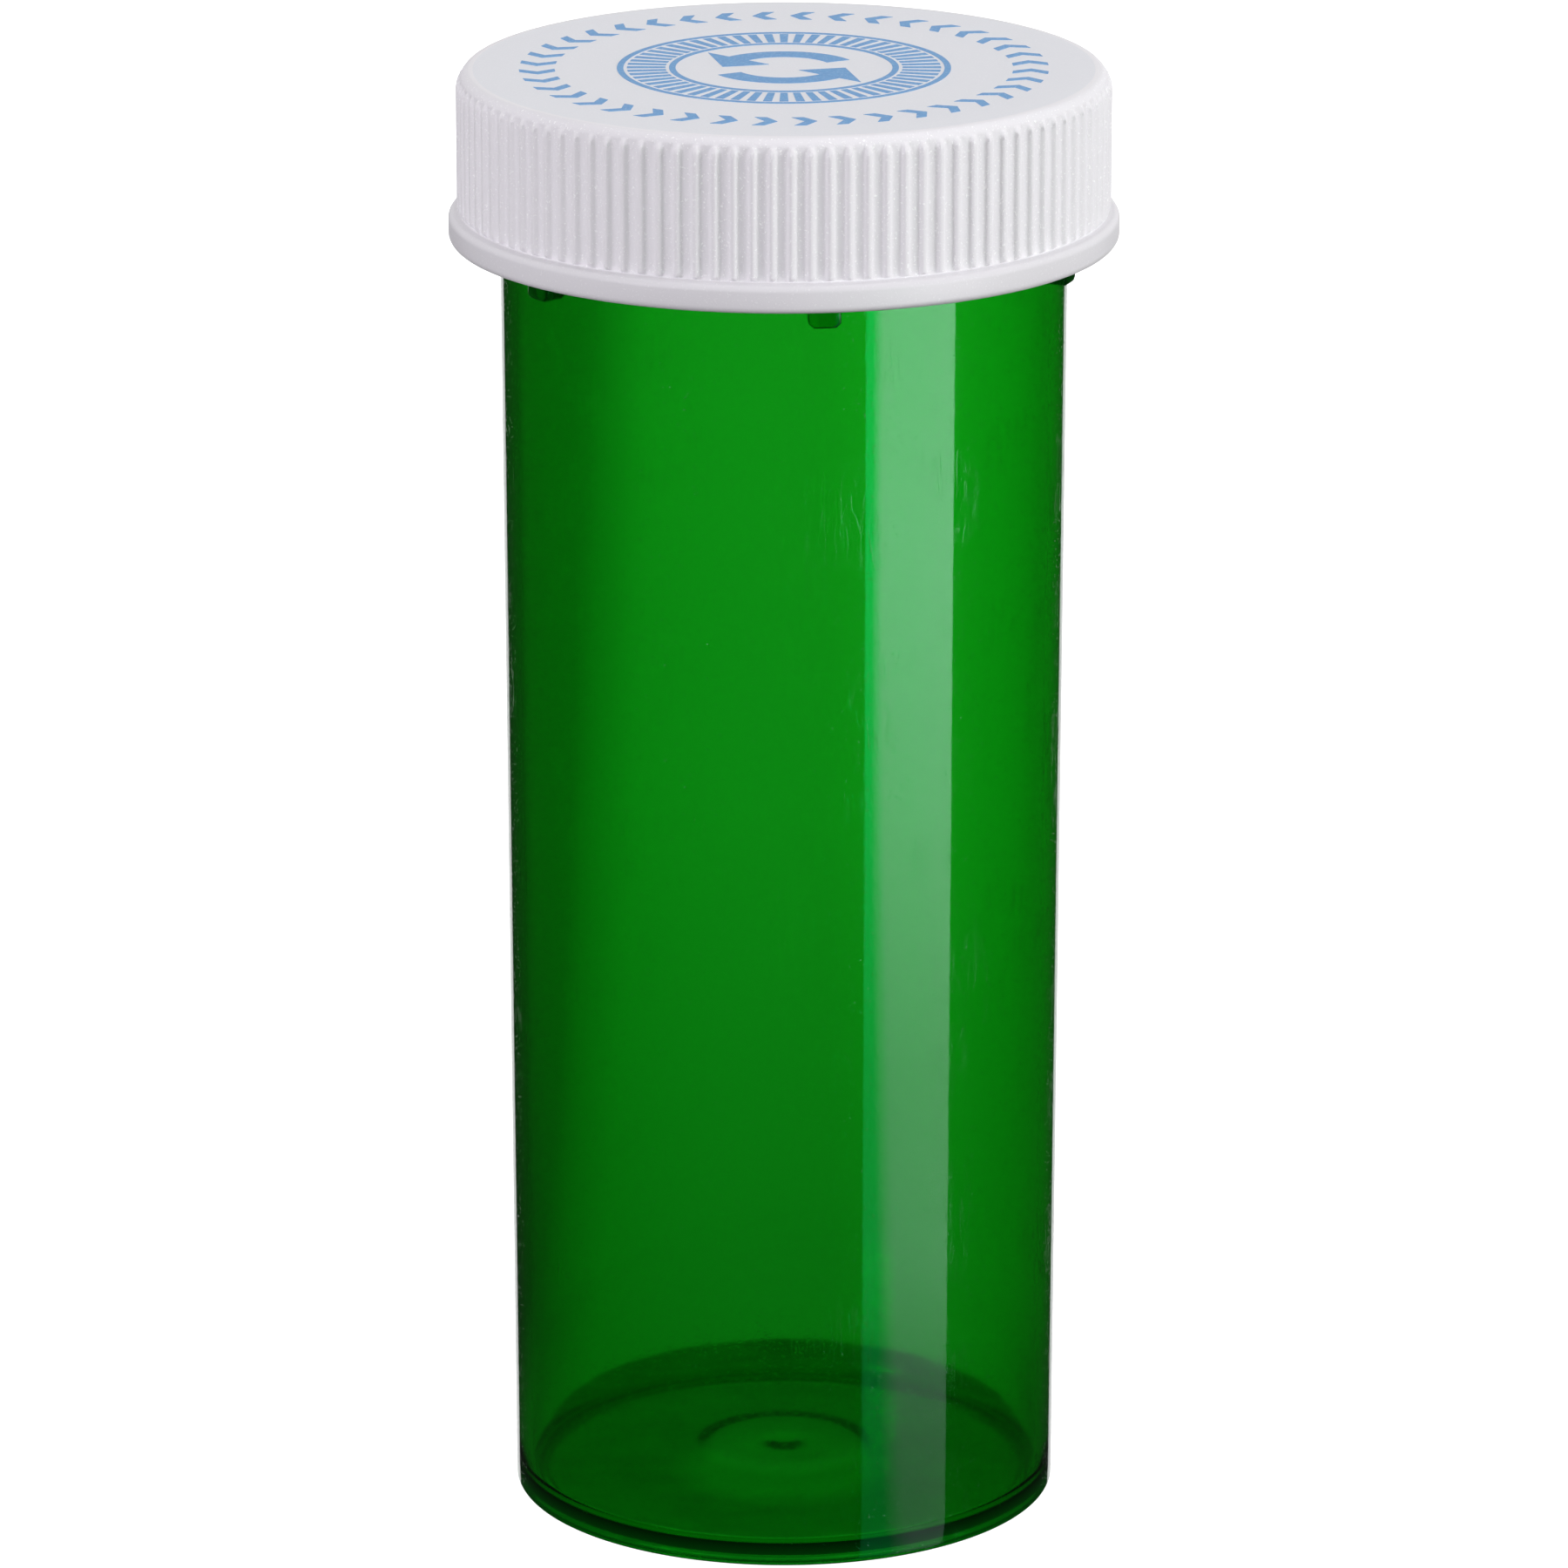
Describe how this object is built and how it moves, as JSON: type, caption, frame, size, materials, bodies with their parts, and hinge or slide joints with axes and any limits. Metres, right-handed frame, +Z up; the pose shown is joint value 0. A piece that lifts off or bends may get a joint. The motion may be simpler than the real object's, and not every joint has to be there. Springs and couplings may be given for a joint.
{
  "type": "prescription vial",
  "caption": "Tall translucent green pharmacy vial with a ribbed white push-and-turn cap, its inner liner and locking hooks under the rim.",
  "frame": {"origin": "centre of the base, on the surface that the vial stands on", "axes": "+Z up the vial's axis towards the cap, -Y to the front, +X to the right seen from the front"},
  "size_m": [0.0472, 0.0472, 0.1047],
  "materials": {
    "green_plastic": "glossy transparent green polypropylene",
    "white_plastic": "fine spark-eroded grain on the ribs, smoother top and rim",
    "blue_ink": "thin blue ink printed on the top of the cap",
    "natural_plastic": "smooth natural low-density polyethylene"
  },
  "bodies": {
    "vial": {"vial": "green_plastic"},
    "liner": {"liner": "natural_plastic"},
    "cap": {"cap": "white_plastic"}
  },
  "joints": [
    {"name": "cap_lift", "type": "slide", "parent": "vial", "child": "liner", "axis": [0, 0, 1], "range_m": [0, 0.014]},
    {"name": "cap_turn", "type": "hinge", "parent": "liner", "child": "cap", "pos_m": [0, 0, 0.098], "axis": [0, 0, 1], "range_deg": [-20.8, 21]}
  ]
}
